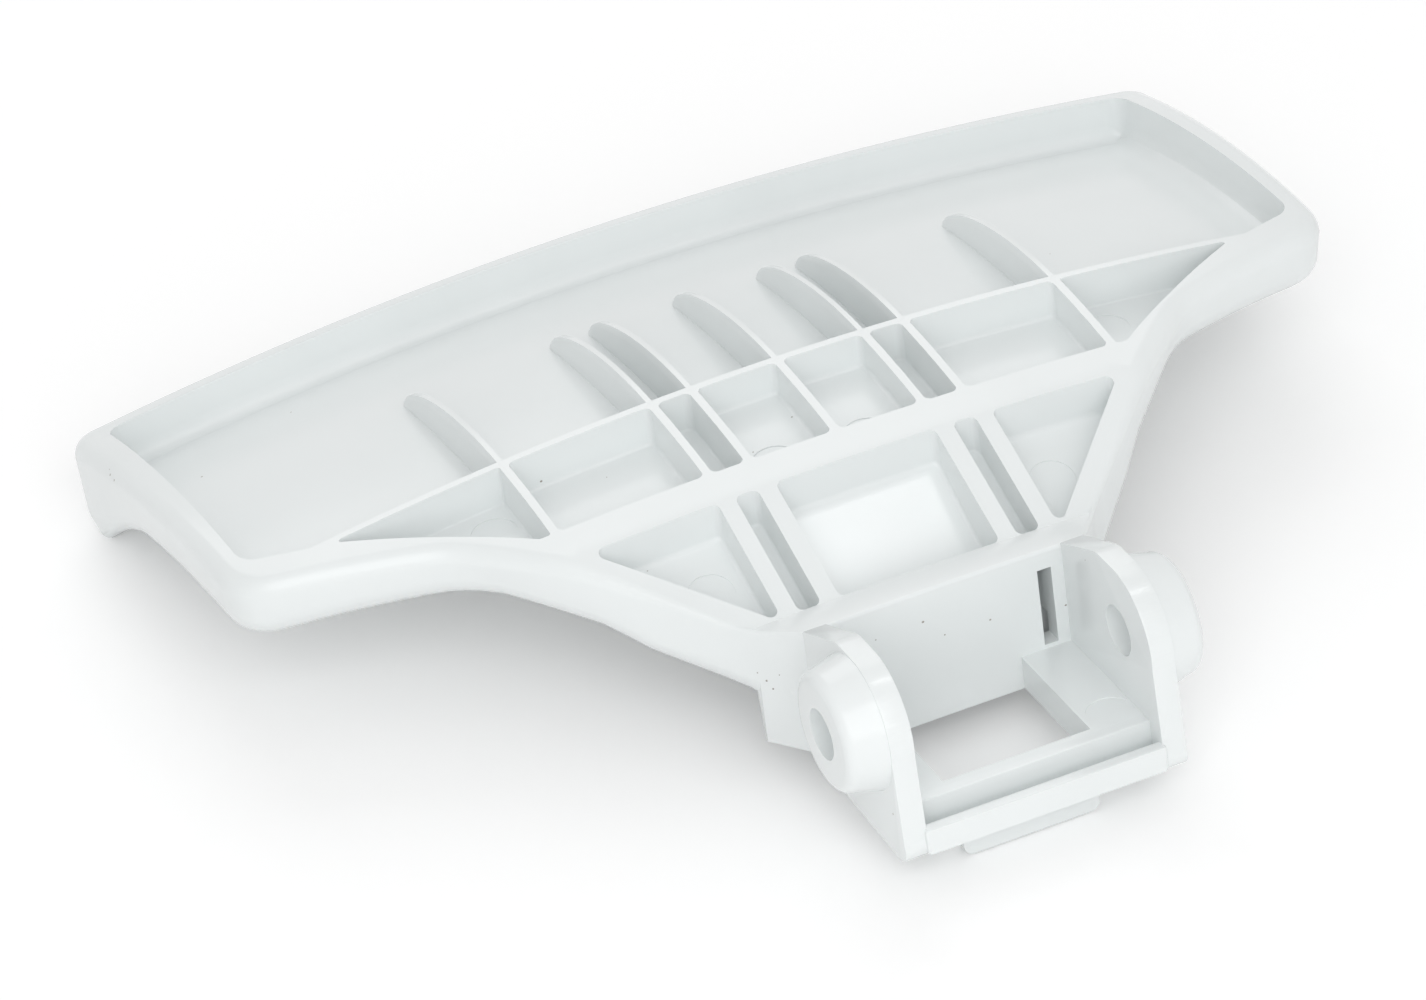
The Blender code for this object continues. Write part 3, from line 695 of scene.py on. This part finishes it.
def hingeCutters():
    sink = hinge["sink"]
    wallReach = hinge["wallReach"]
    windowFoot = hinge["floorTop"] - hinge["floorThickness"] - clear
    windowCorner = (hinge["windowLeft"], hinge["windowFront"], windowFoot)
    window = box("window", windowCorner, (hinge["windowRight"], wallReach, hinge["floorTop"] + sink))
    slotCorner = (hinge["slotLeft"], wallReach - sink, hinge["slotBottom"])
    slotRight = hinge["slotLeft"] + hinge["slotWidth"]
    slot = box("springSlot", slotCorner, (slotRight, wallReach + hinge["slotDepth"], hinge["slotTop"]))
    cavitySide = hinge["earGap"] / 2.0 + hinge["earThickness"] - hinge["cavityEnd"]
    cavityCorner = (-cavitySide, wallReach + hinge["wall"], hinge["blockLowest"] - clear)
    cavityBack = blade["shoulder"][1] - hinge["wall"]
    cavity = box("cavity", cavityCorner, (cavitySide, cavityBack, hinge["cavityTop"]))
    return [window, slot, cavity, pinBore()]


def combine(target, others, operation):
    for other in others:
        step = target.modifiers.new(operation.lower() + "_" + other.name, "BOOLEAN")
        step.operation = operation
        step.solver = "MANIFOLD"
        step.object = other


def settle(item, angle=30.0):
    graph = bpy.context.evaluated_depsgraph_get()
    joined = bpy.data.meshes.new_from_object(item.evaluated_get(graph), depsgraph=graph)
    item.modifiers.clear()
    item.data = joined
    joined.shade_smooth()
    joined.set_sharp_from_angle(angle=math.radians(angle))


body = bladeBlank()
combine(body, hingeSolids(), "UNION")
combine(body, allHollows() + hingeCutters(), "DIFFERENCE")
settle(body)
print("body of the handle:", len(body.data.polygons), "faces")


class Wiring:  # short hands for adding nodes to a tree
    def __init__(self, tree):
        self.tree = tree
        self.inside = tree.nodes.new("NodeGroupInput")
        self.outside = tree.nodes.new("NodeGroupOutput")

    def node(self, kind, settings=None, **inputs):
        made = self.tree.nodes.new(kind)
        for name, value in (settings or {}).items():
            setattr(made, name, value)
        for name, value in inputs.items():
            self.feed(made.inputs[name.replace("_", " ")], value)
        return made

    def feed(self, socket, value):
        if isinstance(value, bpy.types.NodeSocket):
            self.tree.links.new(value, socket)
        elif value is not None:
            socket.default_value = value

    def maths(self, operation, first, second=None):
        made = self.tree.nodes.new("ShaderNodeMath")
        made.operation = operation
        self.feed(made.inputs[0], first)
        if second is not None:
            self.feed(made.inputs[1], second)
        return made.outputs[0]

    # None before the start, one after the end, and evenly between them
    def ramp(self, value, start, end):
        share = self.maths("DIVIDE", self.maths("SUBTRACT", value, start), end - start)
        return self.maths("MINIMUM", self.maths("MAXIMUM", share, 0.0), 1.0)

    def vector(self, x, y, z):
        made = self.tree.nodes.new("ShaderNodeCombineXYZ")
        for socket, value in zip(made.inputs, (x, y, z)):
            self.feed(socket, value)
        return made.outputs[0]

    # A vector of the surface, read at the place that lies nearest
    def nearest(self, surface, value):
        asVector = {"data_type": "FLOAT_VECTOR"}
        made = self.node("GeometryNodeSampleNearestSurface", asVector, Mesh=surface, Value=value)
        return made.outputs["Value"]

    def split(self, value):
        made = self.tree.nodes.new("ShaderNodeSeparateXYZ")
        self.feed(made.inputs[0], value)
        return made.outputs


def newTree(name, sockets):
    tree = bpy.data.node_groups.new(name, "GeometryNodeTree")
    for label, kind in sockets.items():
        tree.interface.new_socket(label, in_out="INPUT", socket_type="NodeSocket" + kind)
    tree.interface.new_socket("Made", in_out="OUTPUT", socket_type="NodeSocketGeometry")
    return tree


# Points run through a tree come back as one plain mesh
def grown(name, points, tree, values):
    dots = bpy.data.meshes.new(name)
    dots.from_pydata(points, [], [])
    item = bpy.data.objects.new(name, dots)
    pieces.objects.link(item)
    step = item.modifiers.new("shape", "NODES")
    step.node_group = tree
    values = {"Finish": plastic, **values}
    for socket in tree.interface.items_tree:
        if socket.in_out == "INPUT" and socket.name in values:
            step[socket.identifier] = values[socket.name]
    settle(item)
    return item


# Bends straight work along the crowned, arched and bowed back
def followBack(wires, made):
    maths = wires.maths
    x, reach, height = wires.split(wires.node("GeometryNodeInputPosition").outputs[0])
    fromCrown = maths("SUBTRACT", reach, blade["crownReach"])
    crownDrop = maths("DIVIDE", maths("MULTIPLY", fromCrown, fromCrown), 2.0 * blade["crownRadius"])
    xSquare = maths("MULTIPLY", x, x)
    archDrop = maths("DIVIDE", xSquare, 2.0 * blade["archRadius"])
    top = maths("SUBTRACT", maths("SUBTRACT", blade["crownHeight"], crownDrop), archDrop)
    share = wires.ramp(reach, blade["bowFull"], blade["farReach"])
    radiusGain = maths("MULTIPLY", share, blade["farBowRadius"] - blade["bowRadius"])
    radius = maths("ADD", radiusGain, blade["bowRadius"])
    easing = wires.ramp(reach, blade["bowStart"], blade["bowFull"])
    back = maths("MULTIPLY", maths("DIVIDE", xSquare, maths("MULTIPLY", radius, 2.0)), easing)
    place = wires.vector(x, maths("SUBTRACT", reach, back), maths("ADD", height, top))
    return wires.node("GeometryNodeSetPosition", Geometry=made, Position=place).outputs[0]


def finishTree(wires, made):
    single = wires.node("GeometryNodeRealizeInstances", Geometry=made).outputs[0]
    material = wires.inside.outputs["Finish"]
    finished = wires.node("GeometryNodeSetMaterial", Geometry=single, Material=material).outputs[0]
    wires.feed(wires.outside.inputs[0], finished)


# Fins on the tray's floor behind the long rib, which run out in a quarter of an ellipse
fins = {
    "height": hollows["trayDepth"],
    "length": hollows["finLength"],
    "thickness": hollows["ribThickness"],
    "sunk": 0.0012,
    "steps": 28,
    "rows": 12,
    "edgePower": 24.0,  # how late a side starts to draw in at its top
    "edgeRound": 0.35,  # share of the half thickness that it draws in
    "capWidth": 1.3,  # width of the top in half thicknesses
}


# A grid of one by one with its corners moved to the place asked for
def shapedSheet(wires, rows, place):
    columns = fins["steps"]
    sheet = wires.node("GeometryNodeMeshGrid", Size_X=1.0, Size_Y=1.0, Vertices_X=columns, Vertices_Y=rows)
    return wires.node("GeometryNodeSetPosition", Geometry=sheet.outputs[0], Position=place).outputs[0]


# Two sides and a top: u runs along the fin, and v up its sides or across its top
def finTree():
    tree = newTree("finTree", {
        "Places": "Geometry",
        "Length": "Float",
        "Height": "Float",
        "Thickness": "Float",
        "Sunk": "Float",
        "Tilt": "Vector",
        "Seat": "Vector",
        "Finish": "Material",
    })
    wires = Wiring(tree)
    maths = wires.maths
    inside = wires.inside.outputs
    u, v, _ = wires.split(wires.node("GeometryNodeInputPosition").outputs[0])
    along = maths("SINE", maths("MULTIPLY", maths("ADD", u, 0.5), math.pi / 2.0))
    fall = maths("SQRT", maths("MAXIMUM", maths("SUBTRACT", 1.0, maths("MULTIPLY", along, along)), 0.0))
    reach = maths("MULTIPLY", along, inside["Length"])
    top = maths("MULTIPLY", inside["Height"], maths("SUBTRACT", fall, 1.0))
    low = maths("MULTIPLY", maths("ADD", inside["Height"], inside["Sunk"]), -1.0)
    up = maths("ADD", v, 0.5)
    height = maths("ADD", low, maths("MULTIPLY", maths("SUBTRACT", top, low), up))
    thick = maths("MULTIPLY", inside["Thickness"], 0.5)
    late = maths("POWER", up, fins["edgePower"])
    drawnIn = maths("MULTIPLY", late, maths("MULTIPLY", thick, fins["edgeRound"]))
    side = maths("SUBTRACT", thick, drawnIn)
    across = maths("MULTIPLY", maths("MULTIPLY", thick, fins["capWidth"]), v)
    right = shapedSheet(wires, fins["rows"], wires.vector(side, reach, height))
    left = shapedSheet(wires, fins["rows"], wires.vector(maths("MULTIPLY", side, -1.0), reach, height))
    cap = shapedSheet(wires, 2, wires.vector(across, reach, top))
    joined = wires.node("GeometryNodeJoinGeometry")
    wires.feed(joined.inputs[0], right)
    for part in (left, cap):
        wires.feed(joined.inputs[0], wires.node("GeometryNodeFlipFaces", Mesh=part).outputs[0])
    copies = wires.node("GeometryNodeInstanceOnPoints", Points=inside["Places"], Instance=joined.outputs[0])
    placedFins = wires.node("GeometryNodeRealizeInstances", Geometry=copies.outputs[0]).outputs[0]
    bentFins = followBack(wires, placedFins)
    seated = wires.node(
        "GeometryNodeTransform", Geometry=bentFins, Rotation=inside["Tilt"], Translation=inside["Seat"]
    )
    finishTree(wires, seated.outputs[0])
    return tree


# Shallow round marks that the mould's ejector pins leave on the floors and on the ledge, deeper at one side
marks = {
    "radius": 0.0027,
    "lean": 1.1,  # degrees that a pin's end is out of the floor's plane
    "depth": 0.00006,  # at the middle
    "standing": 0.0004,  # how far the cutter stands out of the floor
    "sides": 48,
    "sizes": (1.0, 1.0),
    "seed": 7,
    "onBack": [  # half width, reach, depth under the back
        (0.0384, 0.0500, hollows["cellDepth"]),
        (-0.0384, 0.0504, hollows["cellDepth"]),
        (0.0209, 0.0289, hollows["neckDepth"]),
        (-0.0213, 0.0292, hollows["neckDepth"]),
        (-0.0062, 0.0435, hollows["middleCellDepth"]),
        (0.0050, 0.0430, hollows["middleCellDepth"]),
    ],
    "onLedge": [(0.0116, -0.0017, hinge["floorTop"])],
}


def pinEnd(wires):
    height = marks["depth"] + marks["standing"]
    radius = wires.inside.outputs["Size"]
    sides = marks["sides"]
    pin = wires.node("GeometryNodeMeshCylinder", Vertices=sides, Radius=radius, Depth=height).outputs[0]
    lift = (0.0, 0.0, height / 2.0 - marks["depth"])
    lean = (-math.radians(marks["lean"]), 0.0, 0.0)
    return wires.node("GeometryNodeTransform", Geometry=pin, Translation=lift, Rotation=lean).outputs[0]


# What is set in the surface: each copy goes to the nearest place on the body and turns to face out of it
def surfaceTree(name, shape, kind):
    tree = newTree(name, {"Places": "Geometry", "Size": "Float", "Body": "Object", "Finish": "Material"})
    wires = Wiring(tree)
    inside = wires.inside.outputs
    info = wires.node("GeometryNodeObjectInfo", {"transform_space": "ORIGINAL"}, Object=inside["Body"])
    surface = info.outputs["Geometry"]
    nearest = wires.nearest(surface, wires.node("GeometryNodeInputPosition").outputs[0])
    normal = wires.nearest(surface, wires.node("GeometryNodeInputNormal").outputs[0])
    pressed = wires.node("GeometryNodeSetPosition", Geometry=inside["Places"], Position=nearest).outputs[0]
    turned = wires.node("FunctionNodeAlignRotationToVector", {"axis": "Z"}, Vector=normal).outputs[0]
    size = wires.node("FunctionNodeRandomValue", {"data_type": "FLOAT"}, Seed=kind["seed"])
    size.inputs[2].default_value, size.inputs[3].default_value = kind["sizes"]
    copies = wires.node(
        "GeometryNodeInstanceOnPoints", Points=pressed, Instance=shape(wires),
        Rotation=turned, Scale=size.outputs[1],
    )
    finishTree(wires, copies.outputs[0])
    return tree


# Dark specks caught in the plastic, pressed onto the nearest surface of the body
specks = {
    "size": 0.00013,
    "sizes": (0.55, 1.35),  # smallest and largest, as shares of the size
    "seed": 7,
    "flatness": (1.0, 0.8, 0.12),
    "subdivisions": 2,
    "onBack": [  # half width, reach, depth under the back
        (-0.0594, 0.0907, 0.0058), (-0.0452, 0.0974, 0.0056), (0.0411, 0.0709, 0.0058),
        (0.0398, 0.0567, 0.0050), (-0.0304, 0.0548, 0.0040), (-0.0235, 0.0522, 0.0048),
        (-0.0078, 0.0462, 0.0041), (-0.0012, 0.0499, 0.0041), (-0.0265, 0.0345, 0.0045),
    ],
    "onHinge": [  # across, reach, height from the pin's axis
        (-0.0030, 0.0134, 0.0003), (-0.0006, 0.0134, -0.0023), (0.0050, 0.0134, -0.0024),
        (0.0142, 0.0134, -0.0039), (-0.0088, 0.0134, 0.0001), (-0.0172, -0.0066, -0.0084),
        (-0.0172, -0.0036, -0.0070), (-0.0209, 0.0177, -0.0035), (-0.0209, 0.0190, -0.0027),
        (-0.0209, 0.0168, -0.0044), (-0.0209, 0.0155, -0.0023), (0.0144, 0.0071, 0.0054),
        (-0.0702, 0.0903, 0.0038), (-0.0702, 0.0911, 0.0044), (-0.0702, 0.0888, 0.0037),
    ],
}


def speckShape(wires):
    radius = wires.inside.outputs["Size"]
    levels = specks["subdivisions"]
    ball = wires.node("GeometryNodeMeshIcoSphere", Radius=radius, Subdivisions=levels).outputs[0]
    return wires.node("GeometryNodeTransform", Geometry=ball, Scale=specks["flatness"]).outputs[0]


# White satin plastic with a faint unevenness in tone and gloss, a fine grain, and the tone of the specks
finish = {
    "colour": (0.82, 0.85, 0.85, 1.0),
    "shade": (0.79, 0.82, 0.82, 1.0),
    "cloudScale": 38.0,
    "cloudDetail": 4.0,
    "cloudSpan": (0.45, 0.75),  # where the clouds start and end to shade the colour
    "roughness": (0.16, 0.26),
    "grainScale": 2400.0,
    "grainStrength": 0.06,
    "grainHeight": 0.00005,
    "speckColour": (0.36, 0.34, 0.31, 1.0),
    "speckRoughness": 0.6,
}


def newNodes(name):
    material = bpy.data.materials.new(name)
    material.use_nodes = True
    nodes = material.node_tree.nodes
    return material, nodes, material.node_tree.links, nodes["Principled BSDF"]


def plasticMaterial():
    material, nodes, links, shader = newNodes("white_moulded_plastic")
    place = nodes.new("ShaderNodeTexCoord").outputs["Object"]
    clouds = nodes.new("ShaderNodeTexNoise")
    clouds.inputs["Scale"].default_value = finish["cloudScale"]
    clouds.inputs["Detail"].default_value = finish["cloudDetail"]
    links.new(place, clouds.inputs["Vector"])
    tone = nodes.new("ShaderNodeMix")
    tone.data_type = "RGBA"
    tone.inputs["A"].default_value = finish["colour"]
    tone.inputs["B"].default_value = finish["shade"]
    shading = nodes.new("ShaderNodeMapRange")
    shading.inputs["From Min"].default_value, shading.inputs["From Max"].default_value = finish["cloudSpan"]
    links.new(clouds.outputs["Fac"], shading.inputs["Value"])
    links.new(shading.outputs["Result"], tone.inputs["Factor"])
    links.new(tone.outputs["Result"], shader.inputs["Base Color"])
    gloss = nodes.new("ShaderNodeMapRange")
    gloss.inputs["To Min"].default_value, gloss.inputs["To Max"].default_value = finish["roughness"]
    links.new(clouds.outputs["Fac"], gloss.inputs["Value"])
    links.new(gloss.outputs["Result"], shader.inputs["Roughness"])
    grain = nodes.new("ShaderNodeTexNoise")
    grain.inputs["Scale"].default_value = finish["grainScale"]
    links.new(place, grain.inputs["Vector"])
    bump = nodes.new("ShaderNodeBump")
    bump.inputs["Strength"].default_value = finish["grainStrength"]
    bump.inputs["Distance"].default_value = finish["grainHeight"]
    links.new(grain.outputs["Fac"], bump.inputs["Height"])
    links.new(bump.outputs["Normal"], shader.inputs["Normal"])
    return material


def speckMaterial():
    material, _, _, shader = newNodes("dark_speck")
    shader.inputs["Base Color"].default_value = finish["speckColour"]
    shader.inputs["Roughness"].default_value = finish["speckRoughness"]
    return material


plastic = plasticMaterial()
body.data.materials.clear()
body.data.materials.append(plastic)
body.data.transform(placed)

finPlaces = [(0.0, hollows["longRibReach"], 0.0)]
for x in hollows["ribPlaces"][1:]:
    finPlaces += [(-x, hollows["longRibReach"], 0.0), (x, hollows["longRibReach"], 0.0)]
finPiece = grown("doorHandleFins", finPlaces, finTree(), {
    "Length": fins["length"],
    "Height": fins["height"],
    "Thickness": fins["thickness"],
    "Sunk": fins["sunk"],
    "Tilt": (-math.radians(rest["tilt"]), 0.0, 0.0),
    "Seat": (0.0, rest["pinAxisY"], rest["pinAxisZ"]),
})
print("fins:", len(finPlaces))


def onBody(places, lying):
    spots = [placed @ bent(x, reach, backHeight(x, reach) - depth) for x, reach, depth in places]
    return spots + [placed @ Vector(place) for place in lying]


markPlaces = onBody(marks["onBack"], marks["onLedge"])
markTree = surfaceTree("pinMarkTree", pinEnd, marks)
pinCutters = grown("pinMarks", markPlaces, markTree, {"Size": marks["radius"], "Body": body})
combine(body, [pinCutters], "DIFFERENCE")
settle(body)
bpy.data.objects.remove(pinCutters, do_unlink=True)
print("pin marks:", len(markPlaces))

speckPlaces = onBody(specks["onBack"], specks["onHinge"])
speckTree = surfaceTree("speckTree", speckShape, specks)
speckValues = {"Size": specks["size"], "Body": body, "Finish": speckMaterial()}
speckPiece = grown("specks", speckPlaces, speckTree, speckValues)
print("specks:", len(speckPlaces))

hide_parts("door_handle")
for piece in (body, finPiece, speckPiece):
    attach(piece, "root")
for helper in list(workshop.objects):
    bpy.data.objects.remove(helper, do_unlink=True)

# Floor, light and camera
studio = {
    "floorColour": (0.98, 0.98, 0.98, 1.0),
    "floorGlow": 0.10,  # seen by the camera and in reflections only, so the floor reads as white
    "floorSize": 6.0,
    "floorRoughness": 0.9,
    "worldLight": 0.66,
    "keyPower": 3.4,
    "keySize": (0.80, 0.80),
    "keyPlace": (-0.22, -0.72, 0.52),
    "backPower": 1.1,
    "backSize": (0.55, 0.55),
    "backPlace": (0.14, 0.60, 0.58),
    "glossPower": 0.42,  # a strip overhead that shows in the gloss only
    "glossSize": (0.30, 0.04),
    "glossPlace": (0.25, -0.075, 0.78),
    "aim": (0.0, 0.0, 0.01),  # where the key light and the back light point
}


def seenDirectly(nodes, links):  # one where the camera, a mirror or glass looks, else nothing
    path = nodes.new("ShaderNodeLightPath")
    total = path.outputs["Is Camera Ray"]
    for name in ("Is Glossy Ray", "Is Transmission Ray"):
        both = nodes.new("ShaderNodeMath")
        both.operation = "MAXIMUM"
        links.new(total, both.inputs[0])
        links.new(path.outputs[name], both.inputs[1])
        total = both.outputs[0]
    return total


def makeFloor():
    mesh = bmesh.new()
    bmesh.ops.create_grid(mesh, x_segments=1, y_segments=1, size=studio["floorSize"])
    data = bpy.data.meshes.new("floor")
    mesh.to_mesh(data)
    mesh.free()
    floor = bpy.data.objects.new("floor", data)
    bpy.context.scene.collection.objects.link(floor)
    material, nodes, links, shader = newNodes("pale_floor")
    shader.inputs["Base Color"].default_value = studio["floorColour"]
    shader.inputs["Roughness"].default_value = studio["floorRoughness"]
    shader.inputs["Specular IOR Level"].default_value = 0.0
    shader.inputs["Emission Color"].default_value = (1.0, 1.0, 1.0, 1.0)
    glow = nodes.new("ShaderNodeMath")
    glow.operation = "MULTIPLY"
    glow.inputs[1].default_value = studio["floorGlow"]
    links.new(seenDirectly(nodes, links), glow.inputs[0])
    links.new(glow.outputs[0], shader.inputs["Emission Strength"])
    data.materials.append(material)


def makeWorld():
    world = bpy.data.worlds.new("studio")
    bpy.context.scene.world = world
    world.use_nodes = True
    nodes, links = world.node_tree.nodes, world.node_tree.links
    strength = nodes.new("ShaderNodeMapRange")
    strength.inputs["To Min"].default_value = studio["worldLight"]
    strength.inputs["To Max"].default_value = 1.0
    links.new(seenDirectly(nodes, links), strength.inputs["Value"])
    nodes["Background"].inputs["Color"].default_value = (1.0, 1.0, 1.0, 1.0)
    links.new(strength.outputs["Result"], nodes["Background"].inputs["Strength"])


def softBox(name, place, size, power):
    lamp = bpy.data.lights.new(name, "AREA")
    lamp.shape = "RECTANGLE"
    lamp.size, lamp.size_y = size
    lamp.energy = power
    item = bpy.data.objects.new(name, lamp)
    item.location = place
    item.rotation_euler = (Vector(studio["aim"]) - Vector(place)).to_track_quat("-Z", "Y").to_euler()
    bpy.context.scene.collection.objects.link(item)
    return item


makeFloor()
makeWorld()
softBox("keyLight", studio["keyPlace"], studio["keySize"], studio["keyPower"])
softBox("backLight", studio["backPlace"], studio["backSize"], studio["backPower"])
strip = softBox("glossLight", studio["glossPlace"], studio["glossSize"], studio["glossPower"])
strip.visible_diffuse = False
strip.rotation_euler = (0.0, 0.0, 0.0)  # straight down

view = {
    "place": (-0.29958, -0.73321, 0.58096),
    "turn": (54.148, 4.805, -24.849),  # degrees
    "lens": 216.607,
    "sensor": 36.0,
    "farClip": 20.0,
}
camera = bpy.data.cameras.new("camera")
camera.lens = view["lens"]
camera.sensor_width = view["sensor"]
camera.clip_end = view["farClip"]
cameraItem = bpy.data.objects.new("camera", camera)
cameraItem.location = view["place"]
cameraItem.rotation_euler = [math.radians(angle) for angle in view["turn"]]
bpy.context.scene.collection.objects.link(cameraItem)
bpy.context.scene.camera = cameraItem
bpy.context.scene.view_settings.view_transform = "Standard"
print("studio and camera set")

bpy.context.view_layer.update()
